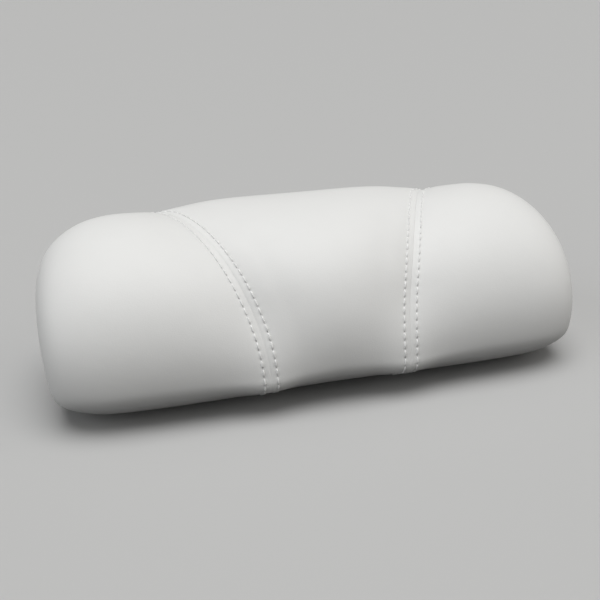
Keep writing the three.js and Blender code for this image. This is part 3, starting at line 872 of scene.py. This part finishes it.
def soften(piece, width, segments=3):
    """Rounds the sharp edges of a moulded or pressed piece."""
    edge = piece.modifiers.new("edges", "BEVEL")
    edge.width = width
    edge.segments = segments
    edge.limit_method = "ANGLE"
    edge.angle_limit = math.radians(BEVEL_FROM)
    apply_modifiers(piece)
    pick(piece, "VERT", lambda corner: True)
    bpy.ops.mesh.remove_doubles(threshold=MERGE_DISTANCE)
    bpy.ops.mesh.dissolve_degenerate(threshold=MERGE_DISTANCE)
    close_edit()
    bpy.ops.object.shade_smooth_by_angle(angle=math.radians(SHARP_MOULDING))


def dome_arc(apex, foot_radius, foot_height, start, stop, steps=20):
    """Arc of a dome from one radius to another, in half section."""
    rise = apex - foot_height
    sphere = (foot_radius ** 2 + rise ** 2) / (2 * rise)
    radii = [start + (stop - start) * k / steps for k in range(steps + 1)]
    return [(radius, apex - sphere + math.sqrt(sphere ** 2 - radius ** 2)) for radius in radii]


def suction_cup(hand, material):
    radius = cup_radius(hand)
    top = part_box(f"{hand}_suction_cup")[1].z
    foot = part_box(f"{hand}_cup_stud")[0].z
    bore = SHANK_RADIUS + CLEARANCE
    seat = bore + FOOT_LEDGE
    seat_bottom = foot - CLEARANCE
    seat_top = top - CUP_LIP
    hollow = radius - CUP_RIM_WIDTH
    profile = [
        *dome_arc(CUP_HOLLOW, hollow, 0, 0, hollow),
        (radius, 0),
        *dome_arc(CUP_HOLLOW + CUP_WEB, radius, CUP_RIM_HEIGHT, radius, CUP_NECK_RADIUS),
        (CUP_NECK_RADIUS, top), (bore, top), (bore, seat_top), (seat, seat_top), (seat, seat_bottom),
        (0, seat_bottom),
    ]
    cup = turned(f"{hand}_cup", profile, middle_of(f"{hand}_suction_cup"), CUP_STEPS)
    soften(cup, CUP_EDGE)
    dress(cup, f"{hand}_cup", "cup_rubber", material, f"{hand}_suction_cup")


def cup_stud(hand, material):
    low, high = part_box(f"{hand}_cup_stud")
    foot = SHANK_RADIUS + FOOT_LEDGE
    foot_top = low.z + FOOT_HEIGHT
    head_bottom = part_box(f"{hand}_cup_socket")[1].z + CLEARANCE
    profile = [
        (0, low.z), (foot, low.z), (foot, foot_top), (SHANK_RADIUS, foot_top),
        (SHANK_RADIUS, head_bottom), (HEAD_RADIUS, head_bottom), (HEAD_RADIUS, high.z - HEAD_CHAMFER),
        (HEAD_RADIUS - HEAD_CHAMFER, high.z), (0, high.z),
    ]
    stud = turned(f"{hand}_stud", profile, middle_of(f"{hand}_suction_cup"), STUD_STEPS)
    soften(stud, STUD_EDGE)
    dress(stud, f"{hand}_stud", "stud_plastic", material, f"{hand}_cup_stud")


def cup_socket(hand, material):
    """Dish with a flange, a keyhole in its floor and holes for its screws."""
    low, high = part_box(f"{hand}_cup_socket")
    middle = middle_of(f"{hand}_cup_socket")
    inner = cup_radius(hand) + DISH_CLEARANCE
    width, length = high.x - low.x, high.y - low.y
    flange_top = low.z + FLANGE_THICKNESS
    socket = rounded_plate(f"{hand}_socket", middle, width, length, FLANGE_CORNER, low.z, flange_top)
    dish = slot_block("dish", middle, inner + DISH_WALL, KEYHOLE_TRAVEL, low.z, high.z)
    shape_with(socket, dish, "UNION")
    cut_away(socket, slot_block("hollow", middle, inner, KEYHOLE_TRAVEL, -CUT_OVER, high.z - DISH_FLOOR))
    slot = SHANK_RADIUS + SLOT_CLEARANCE
    slot_top = high.z + CUT_OVER
    cut_away(socket, slot_block("keyhole_slot", middle, slot, KEYHOLE_TRAVEL, 0, slot_top, vertices=48))
    entry = (middle[0], middle[1] - KEYHOLE_TRAVEL / 2)
    head = HEAD_RADIUS + ENTRY_CLEARANCE
    cut_away(socket, slot_block("keyhole_entry", entry, head, 0, 0, slot_top, vertices=64))
    for place in screw_places(hand):
        cut_away(socket, screw_shape("screw_hole", hand, place, CLEARANCE, high.z, way_in=CUT_OVER))
    soften(socket, SOCKET_EDGE)
    dress(socket, "pillow", "socket_plastic", material, f"{hand}_cup_socket")


def screw_shape(name, hand, place, growth, top, way_in=0.0):
    """A countersunk screw or, with some growth and a way in for its head, the hole that takes it."""
    low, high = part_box(f"{hand}_inner_screw")
    head = (high.x - low.x) / 2 + growth
    shank = SCREW_RADIUS + growth
    mouth = [(0, low.z - way_in), (head, low.z - way_in)] if way_in else [(0, low.z)]
    profile = [*mouth, (head, low.z), (shank, low.z + head - shank), (shank, top), (0, top)]
    return turned(name, profile, place, SCREW_STEPS)


def socket_screws(hand, material):
    for name, place in zip(("inner", "outer"), screw_places(hand)):
        low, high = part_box(f"{hand}_{name}_screw")
        screw = screw_shape(f"{hand}_{name}_screw_head", hand, place, 0, high.z)
        soften(screw, SCREW_EDGE, segments=2)
        bottom = low.z - CUT_OVER
        top = low.z + CROSS_DEPTH
        for size in ((CROSS_LENGTH, CROSS_WIDTH), (CROSS_WIDTH, CROSS_LENGTH)):
            cut_away(screw, rounded_plate("cross", place, *size, CROSS_CORNER, bottom, top, segments=3))
        dress(screw, "pillow", "screw_steel", material, f"{hand}_{name}_screw")


def back_panel(material):
    """Flat vinyl sheet that closes the back, with rolled edges and room for the sockets."""
    low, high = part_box("back_panel")
    size = (high.x - low.x, high.y - low.y)
    corner = OPENING_CORNER - CLEARANCE
    hole = SCREW_RADIUS + CLEARANCE
    panel = rounded_plate("back_vinyl", (0, 0), *size, corner, low.z, high.z, segments=24)
    for hand in SIDES:
        middle = middle_of(f"{hand}_cup_socket")
        dish = slot_block("dish_hole", middle, room_for_dish(hand), KEYHOLE_TRAVEL, 0, CUT_THROUGH)
        cut_away(panel, dish)
        for place in screw_places(hand):
            cut_away(panel, slot_block("screw_hole", place, hole, 0, 0, CUT_THROUGH, vertices=32))
    soften(panel, BACK_EDGE, segments=4)
    dress(panel, "pillow", "backing_vinyl", material, "back_panel")


# Finishes

class Finish:
    """A material and the nodes that are added to it."""

    def __init__(self, name, colour, roughness, metallic=0.0):
        self.material = bpy.data.materials.new(name)
        self.material.use_nodes = True
        self.tree = self.material.node_tree
        self.shader = self.tree.nodes["Principled BSDF"]
        self.shader.inputs["Base Color"].default_value = (*colour, 1)
        self.shader.inputs["Roughness"].default_value = roughness
        self.shader.inputs["Metallic"].default_value = metallic
        self.colour = colour

    def node(self, kind, values=(), **settings):
        made = self.tree.nodes.new(kind)
        for name, value in settings.items():
            setattr(made, name, value)
        for name, value in dict(values).items():
            made.inputs[name].default_value = value
        return made

    def link(self, out, into):
        self.tree.links.new(out, into)

    def place(self, kind="Object"):
        return self.node("ShaderNodeTexCoord").outputs[kind]

    def noise(self, scale, detail=2.0):
        made = self.node("ShaderNodeTexNoise", {"Scale": scale, "Detail": detail})
        self.link(self.place(), made.inputs["Vector"])
        return made.outputs["Fac"]

    def ranged(self, value, low, high):
        made = self.node("ShaderNodeMapRange", {"To Min": low, "To Max": high})
        self.link(value, made.inputs["Value"])
        return made.outputs["Result"]

    def larger(self, first, second):
        made = self.node("ShaderNodeMath", operation="MAXIMUM")
        self.link(first, made.inputs[0])
        self.link(second, made.inputs[1])
        return made.outputs[0]

    def mix(self, share, first, second):
        """A colour between two others, each of them fixed or the output of a node."""
        made = self.node("ShaderNodeMix", data_type="RGBA")
        self.link(share, made.inputs[MIX_SHARE])
        for socket, colour in ((MIX_FIRST, first), (MIX_SECOND, second)):
            if isinstance(colour, tuple):
                made.inputs[socket].default_value = (*colour, 1)
            else:
                self.link(colour, made.inputs[socket])
        return made.outputs[MIX_RESULT]

    def paint(self, out):
        self.link(out, self.shader.inputs["Base Color"])

    def mottle(self, value, spread):
        """Varies the base colour by a share up and down with a value from 0 to 1."""
        darker = tuple(c * (1 - spread) for c in self.colour)
        paler = tuple(min(1, c * (1 + spread)) for c in self.colour)
        tone = self.mix(value, darker, paler)
        self.paint(tone)
        return tone

    def rough(self, value, low, high):
        self.link(self.ranged(value, low, high), self.shader.inputs["Roughness"])

    def bump(self, value, depth, strength, under=None):
        made = self.node("ShaderNodeBump", {"Strength": strength, "Distance": depth})
        self.link(value, made.inputs["Height"])
        if under:
            self.link(under, made.inputs["Normal"])
        return made.outputs["Normal"]

    def normal(self, out):
        self.link(out, self.shader.inputs["Normal"])


def vinyl_finish(name, colour, with_hole_shade):
    """Matte vinyl: a fine pebbled grain, faint unevenness of colour and gloss, and painted shade in the
    needle holes.
    """
    finish = Finish(name, colour, roughness=0.5)
    finish.shader.inputs["Specular IOR Level"].default_value = 0.35
    cells = finish.node("ShaderNodeTexVoronoi", {"Scale": 1500.0, "Smoothness": 0.6}, feature="SMOOTH_F1")
    finish.link(finish.place(), cells.inputs["Vector"])
    grain = finish.bump(cells.outputs["Distance"], depth=0.00006, strength=0.5)
    drift = finish.noise(scale=55.0, detail=3.0)
    finish.normal(finish.bump(drift, depth=0.0004, strength=0.35, under=grain))
    finish.rough(finish.noise(scale=140.0), low=0.44, high=0.56)
    tone = finish.mottle(drift, spread=0.012)
    if with_hole_shade:
        # Painted shade: the colour is drawn towards a darker grey in and around each needle hole
        hole = finish.node("ShaderNodeAttribute", attribute_name="needle_hole_shade")
        shade = finish.ranged(hole.outputs["Fac"], low=0.0, high=0.75)
        finish.paint(finish.mix(shade, tone, HOLE_SHADE_COLOUR))
    return finish.material


def thread_finish():
    """Twisted polyester thread: slanting plies along each stitch."""
    finish = Finish("thread", COLOURS["thread"], roughness=0.45)
    finish.shader.inputs["Sheen Weight"].default_value = 0.2
    finish.shader.inputs["Subsurface Weight"].default_value = 0.5
    finish.shader.inputs["Subsurface Radius"].default_value = (1, 1, 1)
    finish.shader.inputs["Subsurface Scale"].default_value = THREAD_RADIUS
    slant = math.radians(28)
    turn = finish.node("ShaderNodeMapping", {"Rotation": (0, 0, slant)})
    finish.link(finish.place("UV"), turn.inputs["Vector"])
    plies = finish.node("ShaderNodeTexWave", {"Scale": 7.0, "Distortion": 0.4})
    finish.link(turn.outputs["Vector"], plies.inputs["Vector"])
    finish.normal(finish.bump(plies.outputs["Fac"], depth=0.00004, strength=0.6))
    finish.mottle(plies.outputs["Fac"], spread=0.05)
    return finish.material


def foam_finish():
    """Open-cell foam: small dark cells between pale walls."""
    finish = Finish("foam", COLOURS["foam"], roughness=0.95)
    cells = finish.node("ShaderNodeTexVoronoi", {"Scale": 900.0})
    finish.link(finish.place(), cells.inputs["Vector"])
    finish.mottle(cells.outputs["Distance"], spread=0.12)
    finish.normal(finish.bump(cells.outputs["Distance"], depth=0.0006, strength=0.9))
    return finish.material


def tape_finish():
    """Woven tape: two sets of threads that cross."""
    finish = Finish("seam_tape", COLOURS["seam_tape"], roughness=0.85)
    weave = []
    for direction in ("X", "Z"):
        threads = finish.node("ShaderNodeTexWave", {"Scale": 320.0}, bands_direction=direction)
        finish.link(finish.place(), threads.inputs["Vector"])
        weave.append(threads.outputs["Fac"])
    crossed = finish.larger(*weave)
    finish.mottle(crossed, spread=0.1)
    finish.normal(finish.bump(crossed, depth=0.0003, strength=0.8))
    return finish.material


def plastic_finish(name, roughness):
    """Moulded plastic: a fine spark-eroded texture and faint flow marks."""
    finish = Finish(name, COLOURS[name], roughness)
    spread = 0.07
    finish.normal(finish.bump(finish.noise(scale=1800.0, detail=3.0), depth=0.00006, strength=0.6))
    finish.rough(finish.noise(scale=90.0, detail=3.0), roughness - spread, roughness + spread)
    finish.mottle(finish.noise(scale=25.0, detail=3.0), spread=0.03)
    return finish.material


def cup_finish():
    """Soft clear PVC, milky where it is thick."""
    finish = Finish("cup_rubber", COLOURS["cup_rubber"], roughness=0.22)
    finish.shader.inputs["Transmission Weight"].default_value = 0.55
    finish.shader.inputs["IOR"].default_value = 1.53
    finish.rough(finish.noise(scale=120.0, detail=3.0), low=0.16, high=0.3)
    finish.mottle(finish.noise(scale=60.0), spread=0.04)
    finish.normal(finish.bump(finish.noise(scale=300.0), depth=0.0001, strength=0.3))
    return finish.material


def steel_finish():
    """Stainless steel: a fine uneven surface and a little tarnish."""
    finish = Finish("screw_steel", COLOURS["screw_steel"], roughness=0.35, metallic=1.0)
    finish.rough(finish.noise(scale=700.0, detail=4.0), low=0.25, high=0.45)
    finish.mottle(finish.noise(scale=400.0, detail=3.0), spread=0.12)
    finish.normal(finish.bump(finish.noise(scale=2500.0), depth=0.00005, strength=0.5))
    return finish.material


# Stage

def pale_floor():
    """A wide floor that looks pale and throws little light back up at the pillow."""
    clear_selection()
    bpy.ops.mesh.primitive_plane_add(size=FLOOR_SIZE)
    floor = added("floor")
    finish = Finish("floor", FLOOR_SEEN, roughness=0.8)
    finish.shader.inputs["Specular IOR Level"].default_value = 0.1
    path = finish.node("ShaderNodeLightPath").outputs
    seen = finish.larger(path["Is Camera Ray"], path["Is Glossy Ray"])
    seen = finish.larger(seen, path["Is Transmission Ray"])
    finish.paint(finish.mix(seen, FLOOR_BOUNCE, FLOOR_SEEN))
    floor.data.materials.append(finish.material)


def pale_surroundings():
    """A world that looks pale behind the floor and gives only a little light."""
    world = bpy.data.worlds.new("surroundings")
    bpy.context.scene.world = world
    world.use_nodes = True
    nodes, links = world.node_tree.nodes, world.node_tree.links
    background = nodes["Background"]
    background.inputs["Color"].default_value = (*SKY_COLOUR, 1)
    seen = nodes.new("ShaderNodeLightPath")
    strength = nodes.new("ShaderNodeMapRange")
    strength.inputs["To Min"].default_value = SKY_LIGHT
    strength.inputs["To Max"].default_value = SKY_SEEN
    links.new(seen.outputs["Is Camera Ray"], strength.inputs["Value"])
    links.new(strength.outputs["Result"], background.inputs["Strength"])


def wide_light(name, place, strength, colour):
    """Soft even light from the direction of a place, as wide as a lit wall or ceiling."""
    data = bpy.data.lights.new(name, "SUN")
    data.energy = strength
    data.color = colour
    data.angle = math.radians(LIGHT_WIDTH)
    lamp = bpy.data.objects.new(name, data)
    bpy.context.scene.collection.objects.link(lamp)
    lamp.location = place
    lamp.rotation_mode = "QUATERNION"
    lamp.rotation_quaternion = (-Vector(place)).to_track_quat("-Z", "Y")


def studio():
    """Light from overhead, and a fainter cool and warm light from the sides."""
    for name, (place, strength, colour) in LAMPS.items():
        wide_light(name, place, strength, colour)


def photo_camera():
    azimuth, elevation = math.radians(CAMERA_AZIMUTH), math.radians(CAMERA_ELEVATION)
    back = Vector((
        math.sin(azimuth) * math.cos(elevation),
        -math.cos(azimuth) * math.cos(elevation),
        math.sin(elevation),
    ))
    data = bpy.data.cameras.new("camera")
    data.lens = CAMERA_LENS
    data.sensor_width = CAMERA_SENSOR
    data.shift_x, data.shift_y = CAMERA_SHIFT
    data.clip_start = CAMERA_CLIP
    camera = bpy.data.objects.new("camera", data)
    bpy.context.scene.collection.objects.link(camera)
    camera.location = Vector((0, TIP_Y, STANDOFF + CAMERA_AIM_HEIGHT)) + back * CAMERA_DISTANCE
    camera.rotation_mode = "QUATERNION"
    roll = Quaternion((0, 0, 1), math.radians(CAMERA_ROLL))
    camera.rotation_quaternion = (-back).to_track_quat("-Z", "Y") @ roll
    bpy.context.scene.camera = camera


# Assembly

bpy.context.scene.view_settings.view_transform = "Standard"
photo_camera()
studio()
pale_surroundings()
pale_floor()

cover_panels(vinyl_finish("cover_vinyl", COLOURS["cover_vinyl"], True))
sewn_rows(thread_finish())
foam_cores(foam_finish())
back_panel(vinyl_finish("backing_vinyl", COLOURS["backing_vinyl"], False))
socket_plastic = plastic_finish("socket_plastic", roughness=0.45)
stud_plastic = plastic_finish("stud_plastic", roughness=0.4)
cup_rubber = cup_finish()
screw_steel = steel_finish()
for hand in SIDES:
    cup_socket(hand, socket_plastic)
    socket_screws(hand, screw_steel)
    cup_stud(hand, stud_plastic)
    suction_cup(hand, cup_rubber)

board_plastic = plastic_finish("board_plastic", roughness=0.6)
woven_tape = tape_finish()
for node, material in (
    ("base_board", board_plastic),
    ("left_seam_tape", woven_tape),
    ("right_seam_tape", woven_tape),
):
    frame["nodes"][node].data.materials.clear()
    frame["nodes"][node].data.materials.append(material)
